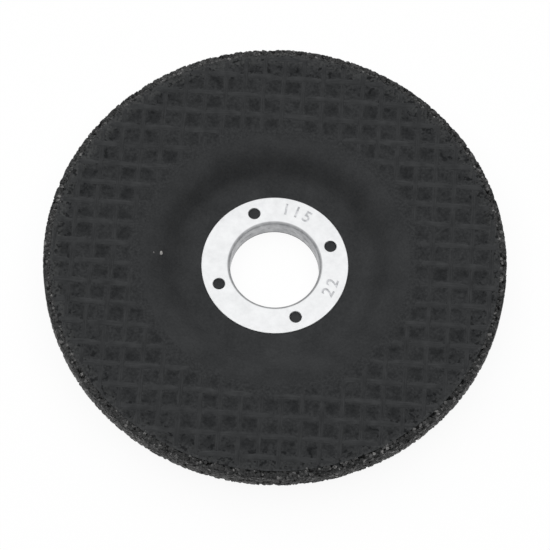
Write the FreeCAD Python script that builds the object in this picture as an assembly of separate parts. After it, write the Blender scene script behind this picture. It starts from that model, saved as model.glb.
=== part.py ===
import FreeCAD, Part

# Depressed-centre grinding disc for an angle grinder, lying on its hub with the grinding face up.
#
# Four pieces make the disc:
#   abrasive_body  the dished wheel of resin-bonded grit, pressed and baked in a mould
#   front_mesh     the woven glass mesh pressed flush into the grinding face
#   back_mesh      the same mesh in the back face
#   bore_ring      the pressed sheet-metal ring that lines the bore and takes the clamping nut
#
# Sizes are in millimetres. +Z runs up the bore's axis, out of the grinding face. The origin is the
# centre of the hub's back face, which is the disc's lowest face and seats on the grinder's flange.

import math
import os

# Wheel section
WHEEL_DIAMETER = 115.0
RIM_THICKNESS = 6.0
HUB_THICKNESS = 5.2
SLOPE_THICKNESS = 5.6
RECESS_DEPTH = 4.6
RECESS_FLOOR_DIAMETER = 48.0
SLOPE_ANGLE = 42.0
FLOOR_BEND_RADIUS = 5.0
FACE_BEND_RADIUS = 6.0
HUB_BEND_RADIUS = 4.0
BACK_BEND_RADIUS = 4.0
RIM_EDGE_CHAMFER = 0.4

# Metal ring. The flange's width is measured from the bore's wall, and the anchor holes' inset from
# the flange's edge to their centres.
BORE_DIAMETER = 22.23
SHEET_THICKNESS = 0.6
FLANGE_WIDTH = 7.2
FLANGE_STANDS_PROUD = 0.3
LIP_INSIDE_BEND = 0.5
COLLAR_SETBACK = 0.4
ANCHOR_HOLE_DIAMETER = 3.0
ANCHOR_HOLE_INSET = 3.5
ANCHOR_HOLE_COUNT = 4
ANCHOR_START_ANGLE = 23.0

# Glass mesh, with about five threads to the inch each way. The warp runs along Y and the weft along X.
# The mesh starts a margin outside the bend into the slope and stops short of the rim, and each of its
# edges has a hem where no thread stands proud. It lies a little turned and off the bore's centre.
MESH_THICKNESS = 0.6
WARP_SPACING = 4.94
WEFT_SPACING = 5.36
WARP_OFF_CENTRE = -0.9
WEFT_OFF_CENTRE = 1.3
MESH_TURN = -1.1
THREAD_WIDTH = 1.9
THREAD_HEIGHT = 0.3
MESH_MARGIN = 2.1
MESH_HEM = 0.5
BARE_RIM_WIDTH = 1.7

# Heights
FLOOR_Z = HUB_THICKNESS
FACE_Z = FLOOR_Z + RECESS_DEPTH
BACK_Z = FACE_Z - RIM_THICKNESS
FLANGE_TOP_Z = FLOOR_Z + FLANGE_STANDS_PROUD
FLANGE_UNDERSIDE_Z = FLANGE_TOP_Z - SHEET_THICKNESS

# Distances from the axis
WHEEL_R = WHEEL_DIAMETER / 2
BORE_R = BORE_DIAMETER / 2
COLLAR_R = BORE_R + SHEET_THICKNESS
FLANGE_R = BORE_R + FLANGE_WIDTH
ANCHOR_HOLE_R = FLANGE_R - ANCHOR_HOLE_INSET
MESH_OUTER_R = WHEEL_R - BARE_RIM_WIDTH

# The openings between threads, along X and along Y
OPENING_WIDTH = WARP_SPACING - THREAD_WIDTH
OPENING_LENGTH = WEFT_SPACING - THREAD_WIDTH

# Where the flats of each side would meet the slope if the bends were sharp
SLOPE = math.radians(SLOPE_ANGLE)
FLOOR_CORNER_R = RECESS_FLOOR_DIAMETER / 2
FACE_CORNER_R = FLOOR_CORNER_R + RECESS_DEPTH / math.tan(SLOPE)
HUB_CORNER_R = FLOOR_CORNER_R + (SLOPE_THICKNESS / math.cos(SLOPE) - HUB_THICKNESS) / math.tan(SLOPE)
BACK_CORNER_R = HUB_CORNER_R + BACK_Z / math.tan(SLOPE)

# How far a cut runs past the face that it starts from
OVERRUN = 1.0

ORIGIN = FreeCAD.Vector(0, 0, 0)
BORE_AXIS = FreeCAD.Vector(0, 0, 1)

# The ring's side that lies against the wheel, as (distance from the axis, height, bend radius)
RING_SEAT_LINE = [
    (COLLAR_R, COLLAR_SETBACK),
    (COLLAR_R, FLANGE_UNDERSIDE_Z, LIP_INSIDE_BEND),
    (FLANGE_R, FLANGE_UNDERSIDE_Z),
]


def bend(before, corner, after, radius):
    """The arc that rounds a corner, tangent to the lines that lead to the points on either side."""
    back = (before - corner).normalize()
    ahead = (after - corner).normalize()
    half_angle = back.getAngle(ahead) / 2
    reach = radius / math.tan(half_angle)
    middle = (back + ahead).normalize()
    centre = corner + middle * (radius / math.sin(half_angle))
    return Part.Arc(corner + back * reach, centre - middle * radius, corner + ahead * reach)


def turned(corners):
    """Revolves a closed half section: (distance, height) corners, with a bend radius where rounded."""
    points = [FreeCAD.Vector(corner[0], 0, corner[1]) for corner in corners]
    starts = list(points)
    ends = list(points)
    arcs = {}
    for i, corner in enumerate(corners):
        if len(corner) == 3:
            arcs[i] = bend(points[i - 1], points[i], points[(i + 1) % len(points)], corner[2])
            starts[i] = arcs[i].StartPoint
            ends[i] = arcs[i].EndPoint
    edges = []
    for i in range(len(points)):
        if i in arcs:
            edges.append(arcs[i].toShape())
        edges.append(Part.LineSegment(ends[i], starts[(i + 1) % len(points)]).toShape())
    section = Part.Face(Part.Wire(edges))
    return section.revolve(ORIGIN, BORE_AXIS, 360)


def tube(inner_r, outer_r, low_z, high_z):
    """A plain ring with square corners."""
    return turned([(inner_r, low_z), (outer_r, low_z), (outer_r, high_z), (inner_r, high_z)])


def flat_starts(corner_r, bend_radius):
    """How far from the axis a face becomes flat, outside its bend into the slope."""
    return corner_r + bend_radius * math.tan(SLOPE / 2)


def front_mesh_inner_r():
    """The inner edge of the mesh in the grinding face."""
    return flat_starts(FACE_CORNER_R, FACE_BEND_RADIUS) + MESH_MARGIN


def back_mesh_inner_r():
    """The inner edge of the mesh in the back face."""
    return flat_starts(BACK_CORNER_R, BACK_BEND_RADIUS) + MESH_MARGIN


def wheel_blank():
    """The dished wheel before its seats are cut: two flats joined by a rounded slope, on each side."""
    return turned([
        (BORE_R, 0),
        (HUB_CORNER_R, 0, HUB_BEND_RADIUS),
        (BACK_CORNER_R, BACK_Z, BACK_BEND_RADIUS),
        (WHEEL_R - RIM_EDGE_CHAMFER, BACK_Z),
        (WHEEL_R, BACK_Z + RIM_EDGE_CHAMFER),
        (WHEEL_R, FACE_Z - RIM_EDGE_CHAMFER),
        (WHEEL_R - RIM_EDGE_CHAMFER, FACE_Z),
        (FACE_CORNER_R, FACE_Z, FACE_BEND_RADIUS),
        (FLOOR_CORNER_R, FLOOR_Z, FLOOR_BEND_RADIUS),
        (BORE_R, FLOOR_Z),
    ])


def ring_seat():
    """What the metal ring takes out of the wheel: its collar, its flange and the bend between them."""
    return turned([
        (BORE_R - OVERRUN, COLLAR_SETBACK),
        *RING_SEAT_LINE,
        (FLANGE_R, FLANGE_TOP_Z + OVERRUN),
        (BORE_R - OVERRUN, FLANGE_TOP_Z + OVERRUN),
    ])


def abrasive_body():
    """The pressed wheel, with a seat for the ring and a shallow pocket for the mesh in each face."""
    front_pocket = tube(front_mesh_inner_r(), MESH_OUTER_R, FACE_Z - MESH_THICKNESS, FACE_Z + OVERRUN)
    back_pocket = tube(back_mesh_inner_r(), MESH_OUTER_R, BACK_Z - OVERRUN, BACK_Z + MESH_THICKNESS)
    return wheel_blank().cut([ring_seat(), front_pocket, back_pocket])


def bore_ring():
    """The pressed ring: collar down the bore, rolled lip, and flange with its anchor holes."""
    ring = turned([
        (BORE_R, COLLAR_SETBACK),
        *RING_SEAT_LINE,
        (FLANGE_R, FLANGE_TOP_Z),
        (BORE_R, FLANGE_TOP_Z, LIP_INSIDE_BEND + SHEET_THICKNESS),
    ])
    holes = []
    for i in range(ANCHOR_HOLE_COUNT):
        angle = math.radians(ANCHOR_START_ANGLE + i * 360 / ANCHOR_HOLE_COUNT)
        foot = FreeCAD.Vector(
            ANCHOR_HOLE_R * math.cos(angle),
            ANCHOR_HOLE_R * math.sin(angle),
            FLANGE_UNDERSIDE_Z - OVERRUN,
        )
        holes.append(Part.makeCylinder(ANCHOR_HOLE_DIAMETER / 2, SHEET_THICKNESS + 2 * OVERRUN, foot))
    return ring.cut(holes)


def mesh_openings(inner_r, outer_r):
    """The low corner (x, y) of each opening between threads that lies whole between two circles."""
    columns = math.ceil(outer_r / WARP_SPACING) + 1
    rows = math.ceil(outer_r / WEFT_SPACING) + 1
    found = []
    for column in range(-columns, columns):
        for row in range(-rows, rows):
            x = WARP_OFF_CENTRE + column * WARP_SPACING + THREAD_WIDTH / 2
            y = WEFT_OFF_CENTRE + row * WEFT_SPACING + THREAD_WIDTH / 2
            nearest = math.hypot(max(x, -x - OPENING_WIDTH, 0), max(y, -y - OPENING_LENGTH, 0))
            furthest = math.hypot(max(-x, x + OPENING_WIDTH), max(-y, y + OPENING_LENGTH))
            if nearest >= inner_r and furthest <= outer_r:
                found.append((x, y))
    return found


def woven_mesh(inner_r, low_z, resin_z):
    """A ring of mesh whose crossing threads stand as ridges out of the resin that fills its openings.

    low_z is the ring's lower face, and resin_z is the low side of the sunk openings, whichever way
    they face: each opening runs out of the ring on its exposed side.
    """
    cloth = tube(inner_r, MESH_OUTER_R, low_z, low_z + MESH_THICKNESS)
    depth = THREAD_HEIGHT + OVERRUN
    openings = []
    for x, y in mesh_openings(inner_r + MESH_HEM, MESH_OUTER_R - MESH_HEM):
        opening = Part.makeBox(OPENING_WIDTH, OPENING_LENGTH, depth, FreeCAD.Vector(x, y, resin_z))
        openings.append(opening.rotated(ORIGIN, BORE_AXIS, MESH_TURN))
    return cloth.cut(openings)


def front_mesh():
    """The mesh in the grinding face. Its sunk openings face upwards."""
    return woven_mesh(front_mesh_inner_r(), FACE_Z - MESH_THICKNESS, FACE_Z - THREAD_HEIGHT)


def back_mesh():
    """The mesh in the back face. Its sunk openings face downwards."""
    return woven_mesh(back_mesh_inner_r(), BACK_Z, BACK_Z - OVERRUN)


def main():
    """Builds each piece and writes it to its own STEP file."""
    os.makedirs("parts", exist_ok=True)
    pieces = {
        "abrasive_body": abrasive_body(),
        "front_mesh": front_mesh(),
        "back_mesh": back_mesh(),
        "bore_ring": bore_ring(),
    }
    for name, shape in pieces.items():
        shape.exportStep(f"parts/{name}.step")
        print(name, "solids", len(shape.Solids), "valid", shape.isValid(), "volume", round(shape.Volume, 1))


main()
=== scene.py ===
import logging
import math
from collections.abc import Mapping, Sequence
from dataclasses import dataclass
from enum import Enum
from functools import partial

import bmesh
import bpy
from mathutils import Matrix, Quaternion, Vector


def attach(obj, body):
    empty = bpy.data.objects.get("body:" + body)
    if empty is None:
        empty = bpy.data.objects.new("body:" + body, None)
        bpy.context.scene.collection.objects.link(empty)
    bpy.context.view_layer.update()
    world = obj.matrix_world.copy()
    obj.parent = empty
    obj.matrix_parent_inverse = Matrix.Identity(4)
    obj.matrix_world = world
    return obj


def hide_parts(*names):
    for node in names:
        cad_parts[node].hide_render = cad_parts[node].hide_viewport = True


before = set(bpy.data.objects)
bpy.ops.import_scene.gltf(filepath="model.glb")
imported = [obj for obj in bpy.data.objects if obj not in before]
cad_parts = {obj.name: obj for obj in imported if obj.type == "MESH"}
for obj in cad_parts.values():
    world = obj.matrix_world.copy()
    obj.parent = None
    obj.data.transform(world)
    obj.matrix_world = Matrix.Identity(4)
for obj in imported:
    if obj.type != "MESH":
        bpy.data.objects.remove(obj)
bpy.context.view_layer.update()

# The disc lies on its hub with the dished grinding side up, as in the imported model. Sizes in this
# script are millimetres unless a name or comment says otherwise, and MM turns them to metres.
MM = 0.001
BODY = "root"
LOG = logging.getLogger("grinding_disc")

# Sizes that several pieces share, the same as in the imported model
BORE_R = 11.115
COLLAR_R = 11.715
FLANGE_R = 18.315
WHEEL_R = 57.5
MESH_OUTER_R = 55.8
FRONT_MESH_INNER_R = 33.512
BACK_MESH_INNER_R = 34.45
MESH_THICKNESS = 0.6
FLOOR_Z = 5.2
FACE_Z = 9.8
BACK_Z = 3.8
FLANGE_TOP_Z = 5.5
FLANGE_UNDERSIDE_Z = 4.9
COLLAR_LOW_Z = 0.4
LIP_INSIDE_BEND = 0.5
LIT_SIDE = math.radians(125)  # from +X, the side of the rim that painted light brightens

Tree = bpy.types.NodeTree
Node = bpy.types.Node
Socket = bpy.types.NodeSocket
Piece = bpy.types.Object
Mesh = bpy.types.Mesh
Material = bpy.types.Material

# Node types and settings that come back in many trees
MATH = "ShaderNodeMath"
VECTORS = "ShaderNodeVectorMath"
REMAP = "ShaderNodeMapRange"
NOISE = "ShaderNodeTexNoise"
MIX = "ShaderNodeMix"
BUMP = "ShaderNodeBump"
NOTE = "ShaderNodeAttribute"
JOIN_XYZ = "ShaderNodeCombineXYZ"
SPLIT_XYZ = "ShaderNodeSeparateXYZ"
POSITION = "GeometryNodeInputPosition"
MOVE = "GeometryNodeSetPosition"
REALIZE = "GeometryNodeRealizeInstances"
INSTANCES = "GeometryNodeInstanceOnPoints"
STORE = "GeometryNodeStoreNamedAttribute"
RANDOM = "FunctionNodeRandomValue"
ADD, SUBTRACT, MULTIPLY, DIVIDE, MULTIPLY_ADD, LEAST, MOST, SCALE, ABSOLUTE = (
    {"operation": name} for name in (
        "ADD", "SUBTRACT", "MULTIPLY", "DIVIDE", "MULTIPLY_ADD", "MINIMUM", "MAXIMUM", "SCALE", "ABSOLUTE"))
SMOOTH = {"interpolation_type": "SMOOTHSTEP"}
COLOURS = {"data_type": "RGBA"}
ON_POINTS = {"data_type": "FLOAT", "domain": "POINT"}
NOISE_MIDDLE = (0.5, 0.5, 0.5)
WHITE = "#FFFFFF"
SOCKETS = {
    int: "NodeSocketInt", float: "NodeSocketFloat", tuple: "NodeSocketVector",
    Material: "NodeSocketMaterial",
}


def linear(hex_colour: str) -> tuple[float, float, float, float]:
    """Turns an sRGB colour into the linear one that shaders take.

    Args:
        hex_colour: The colour as #RRGGBB.

    Returns:
        Red, green, blue and alpha, each from 0 to 1.
    """
    channels = [int(hex_colour[i:i + 2], 16) / 255 for i in (1, 3, 5)]
    curve = [c / 12.92 if c <= 0.04045 else ((c + 0.055) / 1.055) ** 2.4 for c in channels]
    return (curve[0], curve[1], curve[2], 1.0)


def per_mm(size: float) -> float:
    """The texture scale, in repeats a metre, at which one feature measures `size` millimetres."""
    return 1 / (size * MM)


def noise(size: float, detail: float, roughness: float = 0.5) -> dict[str, float]:
    """The inputs of a noise texture whose widest features measure `size` millimetres."""
    return {"Scale": per_mm(size), "Detail": detail, "Roughness": roughness}


def span(low: object, high: object, start: object = 0.0, end: object = 1.0) -> dict[str, object]:
    """The inputs of a node that turns low into start and high into end."""
    return {"From Min": low, "From Max": high, "To Min": start, "To Max": end}


def tones(dark: str, light: str) -> dict[str, object]:
    """The inputs of a node that mixes two sRGB colours."""
    return {"A": linear(dark), "B": linear(light)}


def connect(tree: Tree, value: object, socket: Socket) -> None:
    """Feeds an input.

    Args:
        tree: The tree of both ends.
        value: A node, which stands for its first live output, an output socket or a plain value.
        socket: The input.
    """
    if isinstance(value, Node):
        value = next(s for s in value.outputs if s.enabled)
    if isinstance(value, Socket):
        tree.links.new(value, socket)
    else:
        socket.default_value = value


def add_node(
    tree: Tree,
    kind: str,
    settings: Mapping[str, object] | None = None,
    links: Mapping[str, object] | Sequence[object] = (),
) -> Node:
    """Adds a node with its settings and what goes into it.

    Args:
        tree: The tree that takes the node.
        kind: The node's type name.
        settings: Property names and their values.
        links: Input names or identifiers with what connect takes, or that alone for inputs in order.

    Returns:
        The new node.
    """
    node = tree.nodes.new(kind)
    for name, value in (settings or {}).items():
        setattr(node, name, value)
    pairs = links.items() if isinstance(links, Mapping) else enumerate(links)
    for key, value in pairs:
        if isinstance(key, int):
            socket = node.inputs[key]
        else:
            socket = next(s for s in node.inputs if s.enabled and key in (s.identifier, s.name))
        connect(tree, value, socket)
    return node


def off_axis(tree: Tree, spot: object) -> tuple[Node, Node, Node]:
    """Adds a place's distance from the bore's axis.

    Args:
        tree: The tree that takes the nodes.
        spot: The node or socket that gives the place.

    Returns:
        The nodes with the place's X, Y and Z, the place at height 0, and its distance from the axis.
    """
    xyz = add_node(tree, SPLIT_XYZ, links={"Vector": spot})
    flat = add_node(tree, JOIN_XYZ, links={"X": xyz.outputs["X"], "Y": xyz.outputs["Y"]})
    return xyz, flat, add_node(tree, VECTORS, {"operation": "LENGTH"}, (flat,))


def lit_side(tree: Tree, spot: object, least: float, most: float) -> Node:
    """Adds an amount that grows from the wheel's shaded side to its lit side, for painted light.

    Args:
        tree: The tree that takes the nodes.
        spot: The node or socket that gives the place on the wheel.
        least: The amount on the shaded side.
        most: The amount on the lit side.

    Returns:
        The node that gives the amount.
    """
    towards = (math.cos(LIT_SIDE), math.sin(LIT_SIDE), 0.0)
    across = add_node(tree, VECTORS, {"operation": "DOT_PRODUCT"}, (spot, towards))
    return add_node(tree, REMAP, links={"Value": across, **span(-WHEEL_R * MM, WHEEL_R * MM, least, most)})


def geometry_tree(name: str, sizes: Mapping[str, object]) -> tuple[Tree, Mapping[str, Socket]]:
    """Starts a Geometry Nodes tree that takes a mesh and named sizes.

    Args:
        name: The tree's name.
        sizes: The name of each size, with a value of its kind.

    Returns:
        The tree, and the outputs of its input node by name.
    """
    tree = bpy.data.node_groups.new(name, "GeometryNodeTree")
    tree.interface.new_socket(name="Geometry", in_out="OUTPUT", socket_type="NodeSocketGeometry")
    tree.interface.new_socket(name="Geometry", in_out="INPUT", socket_type="NodeSocketGeometry")
    for label, value in sizes.items():
        kind = next(socket for python, socket in SOCKETS.items() if isinstance(value, python))
        tree.interface.new_socket(name=label, in_out="INPUT", socket_type=kind)
    return tree, add_node(tree, "NodeGroupInput").outputs


def end_tree(tree: Tree, geometry: Node, material: Socket | None = None) -> Tree:
    """Ends a Geometry Nodes tree: instances become mesh, and the mesh gets its material.

    Args:
        tree: The tree to end.
        geometry: The node that gives the finished geometry.
        material: The socket that gives the material, or None where the mesh keeps its own.

    Returns:
        The same tree.
    """
    made = add_node(tree, REALIZE, links={"Geometry": geometry})
    if material is not None:
        made = add_node(tree, "GeometryNodeSetMaterial", links={"Geometry": made, "Material": material})
    add_node(tree, "NodeGroupOutput", links=(made,))
    return tree


def as_mesh(name: str, shape: bmesh.types.BMesh) -> Mesh:
    """Turns an edited shape into a mesh.

    Args:
        name: The mesh's name.
        shape: The shape, which is freed.

    Returns:
        The mesh.
    """
    mesh = bpy.data.meshes.new(name)
    shape.to_mesh(mesh)
    shape.free()
    return mesh


def on_stage(name: str, data: bpy.types.ID) -> Piece:
    """Adds an object to the scene.

    Args:
        name: The object's name.
        data: Its mesh, text, lamp or camera.

    Returns:
        The object.
    """
    made = bpy.data.objects.new(name, data)
    bpy.context.scene.collection.objects.link(made)
    return made


def evaluated(piece: Piece) -> Mesh:
    """The mesh that a piece has after its modifiers, or that a text has."""
    graph = bpy.context.evaluated_depsgraph_get()
    return bpy.data.meshes.new_from_object(piece.evaluated_get(graph), depsgraph=graph)


def settle(piece: Piece) -> Piece:
    """Turns what a piece's modifiers make into its plain mesh.

    Args:
        piece: The piece.

    Returns:
        The same piece, with no modifier left on it.
    """
    result = evaluated(piece)
    result.name = piece.name
    piece.modifiers.clear()
    piece.data = result
    return piece


def grow(name: str, source: Mesh, tree: Tree, sizes: Mapping[str, object]) -> Piece:
    """Runs a Geometry Nodes tree on a mesh and keeps the result as a plain mesh.

    Args:
        name: The new piece's name.
        source: The mesh that the tree starts from.
        tree: The tree to run.
        sizes: A value for each of the tree's named inputs.

    Returns:
        The piece, with no modifier left on it.
    """
    piece = on_stage(name, source)
    modifier = piece.modifiers.new("grow", "NODES")
    modifier.node_group = tree
    for item in tree.interface.items_tree:
        if item.in_out == "INPUT" and item.name in sizes:
            modifier[item.identifier] = sizes[item.name]
    return settle(piece)


def place(piece: Piece, node: str | None) -> Piece:
    """Puts a finished piece on the disc's one body.

    Args:
        piece: The piece, whose mesh is already where it belongs.
        node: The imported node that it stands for, or None where it only adds to the disc.

    Returns:
        The same piece.
    """
    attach(piece, BODY)
    if node is not None:
        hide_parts(node)
    return piece


def start_material(name: str) -> tuple[Material, Tree, Socket]:
    """Starts a material.

    Args:
        name: The material's name.

    Returns:
        The material, its tree, and the socket that gives each place on the disc.
    """
    material = bpy.data.materials.new(name)
    material.use_nodes = True
    tree = material.node_tree
    return material, tree, add_node(tree, "ShaderNodeTexCoord").outputs["Object"]


def end_material(material: Material, looks: Mapping[str, object]) -> Material:
    """Ends a material.

    Args:
        material: The material to end.
        looks: The names of its shader's inputs, each with what connect takes.

    Returns:
        The same material.
    """
    shader = material.node_tree.nodes["Principled BSDF"]
    for name, value in looks.items():
        connect(material.node_tree, value, shader.inputs[name])
    return material


@dataclass(frozen=True)
class Corner:
    """A corner of a turned section.

    A bend rounds it, and step is the longest piece that the edge after it is divided into.
    """

    r: float
    z: float
    bend: float = 0.0
    step: float = 0.0


@dataclass
class TurnedShell:
    """A closed solid of revolution about the bore's axis, made from its half section."""

    corners: Sequence[Corner]
    segments: int
    rim_segments: int = 0
    rim_from_r: float = math.inf
    bend_steps: int = 8
    sharp_from: float = math.radians(35)

    def arc(self, index: int) -> list[tuple[float, float]]:
        """Rounds one corner.

        Args:
            index: Which corner.

        Returns:
            The points of its arc as (distance from the axis, height), or the corner alone.
        """
        corner = self.corners[index]
        here = Vector((corner.r, corner.z))
        if not corner.bend:
            return [(here.x, here.y)]
        before = self.corners[index - 1]
        after = self.corners[(index + 1) % len(self.corners)]
        back = (Vector((before.r, before.z)) - here).normalized()
        ahead = (Vector((after.r, after.z)) - here).normalized()
        half = back.angle(ahead) / 2
        centre = here + (back + ahead).normalized() * (corner.bend / math.sin(half))
        start = here + back * (corner.bend / math.tan(half)) - centre
        turn = start.angle_signed(here + ahead * (corner.bend / math.tan(half)) - centre)
        points = []
        for i in range(self.bend_steps + 1):
            spoke = Matrix.Rotation(-turn * i / self.bend_steps, 2) @ start
            points.append((centre.x + spoke.x, centre.y + spoke.y))
        return points

    def section(self) -> list[tuple[float, float]]:
        """The whole closed section.

        Returns:
            Its points as (distance from the axis, height), in order.
        """
        points: list[tuple[float, float]] = []
        arcs = [self.arc(i) for i in range(len(self.corners))]
        for i, corner in enumerate(self.corners):
            points.extend(arcs[i])
            if corner.step:
                start, end = Vector(arcs[i][-1]), Vector(arcs[(i + 1) % len(arcs)][0])
                count = max(1, math.ceil((end - start).length / corner.step))
                for k in range(1, count):
                    spot = start.lerp(end, k / count)
                    points.append((spot.x, spot.y))
        return points

    def mesh(self, name: str) -> Mesh:
        """Turns the section into a closed mesh, finer near the rim where that is asked for.

        Args:
            name: The mesh's name.

        Returns:
            The mesh, smooth apart from its sharp edges.
        """
        shell = bmesh.new()
        loops = []
        for r, z in self.section():
            fine = self.rim_segments and r >= self.rim_from_r
            count = self.rim_segments if fine else self.segments
            loops.append([
                shell.verts.new((
                    r * MM * math.cos(2 * math.pi * i / count),
                    r * MM * math.sin(2 * math.pi * i / count),
                    z * MM,
                ))
                for i in range(count)
            ])
        for k, loop in enumerate(loops):
            following = loops[(k + 1) % len(loops)]
            if len(loop) >= len(following):
                self.join(shell, loop, following)
            else:
                self.join(shell, following, loop)
        bmesh.ops.recalc_face_normals(shell, faces=shell.faces)
        made = as_mesh(name, shell)
        made.shade_smooth()
        made.set_sharp_from_angle(angle=self.sharp_from)
        return made

    @staticmethod
    def join(shell: bmesh.types.BMesh, fine: list, coarse: list) -> None:
        """Fills between two rings of points, one of which may be finer than the other.

        Args:
            shell: The mesh that takes the faces.
            fine: The ring with more points, or as many.
            coarse: The ring with fewer points.
        """
        ratio = len(fine) // len(coarse)
        for j in range(len(coarse)):
            near, far = coarse[j], coarse[(j + 1) % len(coarse)]
            spots = [fine[(j * ratio + m) % len(fine)] for m in range(ratio + 1)]
            if ratio == 1:
                shell.faces.new((near, far, spots[1], spots[0]))
                continue
            middle = ratio // 2
            for m in range(ratio):
                shell.faces.new((near if m < middle else far, spots[m + 1], spots[m]))
            shell.faces.new((near, far, spots[middle]))


@dataclass(frozen=True)
class MouldedPhenolic:
    """Black phenolic resin pressed and baked in a steel mould.

    It gives a flat, very matt charcoal skin with a faint cloudiness, the fine tooth of the grit
    under it, and hardly any highlight.
    """

    name: str = "moulded_phenolic_skin"
    dark: str = "#2C2D2E"
    light: str = "#3C3D3E"
    cloud_mm: float = 7.0
    tooth_mm: float = 0.55
    tooth_depth_mm: float = 0.04
    roughness: float = 0.82
    specular: float = 0.07

    def build(self) -> Material:
        """Makes the material."""
        material, tree, spot = start_material(self.name)
        add = partial(add_node, tree)
        cloud = add(NOISE, links={"Vector": spot, **noise(self.cloud_mm, 4.0, 0.6)})
        tooth = add(NOISE, links={"Vector": spot, **noise(self.tooth_mm, 3.0, 0.65)})
        both = add(MATH, MULTIPLY_ADD, (tooth, 0.9, cloud))
        share = add(REMAP, links={"Value": both, **span(0.65, 1.25)})
        colour = add(MIX, COLOURS, {"Factor": share, **tones(self.dark, self.light)})
        gloss = add(REMAP, links={
            "Value": cloud, **span(0.3, 0.7, self.roughness - 0.06, self.roughness + 0.06)})
        bump = add(BUMP, links={"Height": tooth, "Distance": self.tooth_depth_mm * MM, "Strength": 1.0})
        return end_material(material, {
            "Base Color": colour, "Roughness": gloss, "Normal": bump, "Specular IOR Level": self.specular})


@dataclass(frozen=True)
class BrokenRim:
    """The wheel's bare edge, where grit and resin broke away from the mould.

    The narrow flat keeps a film of black resin between its pits. Round the outside the grit itself
    shows, a dusty grey, paler on the lit side and towards the back as painted light. The pits that
    lost grains show the black bond, darkened further to nearly black by painted shade.
    """

    name: str = "bare_bonded_grit"
    film: str = "#262727"
    film_dust_and_light: str = "#565656"
    grit: str = "#464646"
    grit_dust_and_light: str = "#A09F9E"
    # Nearly black pits: the bond's black, darkened further with painted shade
    pit: str = "#111111"
    grain_mm: float = 0.8
    turns_from_r: float = 56.7
    turns_to_r: float = 57.15
    painted_shade_at_z: float = 9.4
    painted_bounce_at_z: float = 4.6

    def build(self) -> Material:
        """Makes the material. It reads the pit attribute that the rim's tree leaves on the mesh."""
        material, tree, spot = start_material(self.name)
        add = partial(add_node, tree)
        xyz, _, radius = off_axis(tree, spot)
        outside = add(REMAP, SMOOTH, {
            "Value": radius, **span(self.turns_from_r * MM, self.turns_to_r * MM)})
        grains = add("ShaderNodeTexVoronoi", links={
            "Vector": spot, "Scale": per_mm(self.grain_mm), "Randomness": 1.0})
        dust = add(NOISE, links={"Vector": spot, **noise(self.grain_mm * 0.6, 3.0, 0.7)})
        share = add(REMAP, links={"Value": dust, **span(0.4, 0.66)})
        # Painted light: the dust is paler on the rim's lit side
        share = add(MATH, {
            "operation": "MULTIPLY", "use_clamp": True}, (share, lit_side(tree, spot, 0.5, 1.15)))
        film_and_painted_light = add(MIX, COLOURS, {"Factor": share, **tones(self.film, self.film_dust_and_light)})
        gritty = add(MIX, COLOURS, {"Factor": share, **tones(self.grit, self.grit_dust_and_light)})
        # Painted light: the outside is darker near the face and lighter towards the back, where bounce light
        # from the floor falls
        lower = add(REMAP, links={
            "Value": xyz.outputs["Z"], **span(self.painted_bounce_at_z * MM, self.painted_shade_at_z * MM, 1.0, 0.0)})
        bare = add(MATH, MULTIPLY, (outside, lower))
        either = add(MIX, COLOURS, {"Factor": bare, "A": film_and_painted_light, "B": gritty})
        # The pits: the black bond, darkened further with painted shade
        pit = add(NOTE, {"attribute_name": "pit"})
        colour = add(MIX, COLOURS, {"Factor": pit.outputs["Fac"], "A": either, "B": linear(self.pit)})
        bump = add(BUMP, links={
            "Height": grains.outputs["Distance"], "Distance": 0.15 * MM, "Strength": 0.8})
        return end_material(material, {
            "Base Color": colour, "Normal": bump, "Roughness": 0.85, "Specular IOR Level": 0.1})


@dataclass(frozen=True)
class FusedAlumina:
    """Crushed grains of fused aluminium oxide, most of them still wearing a film of black resin.

    They break into sharp facets. Bare faces range from dusty grey to a few pale ones that catch light.
    """

    name: str = "fused_alumina_grains"
    coated: str = "#262626"
    dusty: str = "#4C4C4C"
    grey: str = "#7B7A79"
    pale: str = "#B5B3B0"

    def build(self) -> Material:
        """Makes the material. It reads the tone that the scattering tree gives each grain."""
        material, tree, spot = start_material(self.name)
        add = partial(add_node, tree)
        tone = add(NOTE, {"attribute_name": "tone"})
        ramp = add("ShaderNodeValToRGB", links={"Fac": tone.outputs["Fac"]})
        ramp.color_ramp.interpolation = "LINEAR"
        stops = ramp.color_ramp.elements
        stops[0].position, stops[0].color = 0.3, linear(self.coated)
        stops[1].position, stops[1].color = 0.995, linear(self.pale)
        for position, colour in ((0.6, self.dusty), (0.92, self.grey)):
            stops.new(position).color = linear(colour)
        film = add(NOISE, links={"Vector": spot, **noise(0.5, 2.0)})
        share = add(REMAP, links={"Value": film, **span(0.45, 0.65, end=0.6)})
        colour = add(MIX, COLOURS, {"Factor": share, "A": ramp.outputs["Color"], "B": linear(self.coated)})
        return end_material(material, {"Base Color": colour, "Roughness": 0.6, "Specular IOR Level": 0.3})


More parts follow.
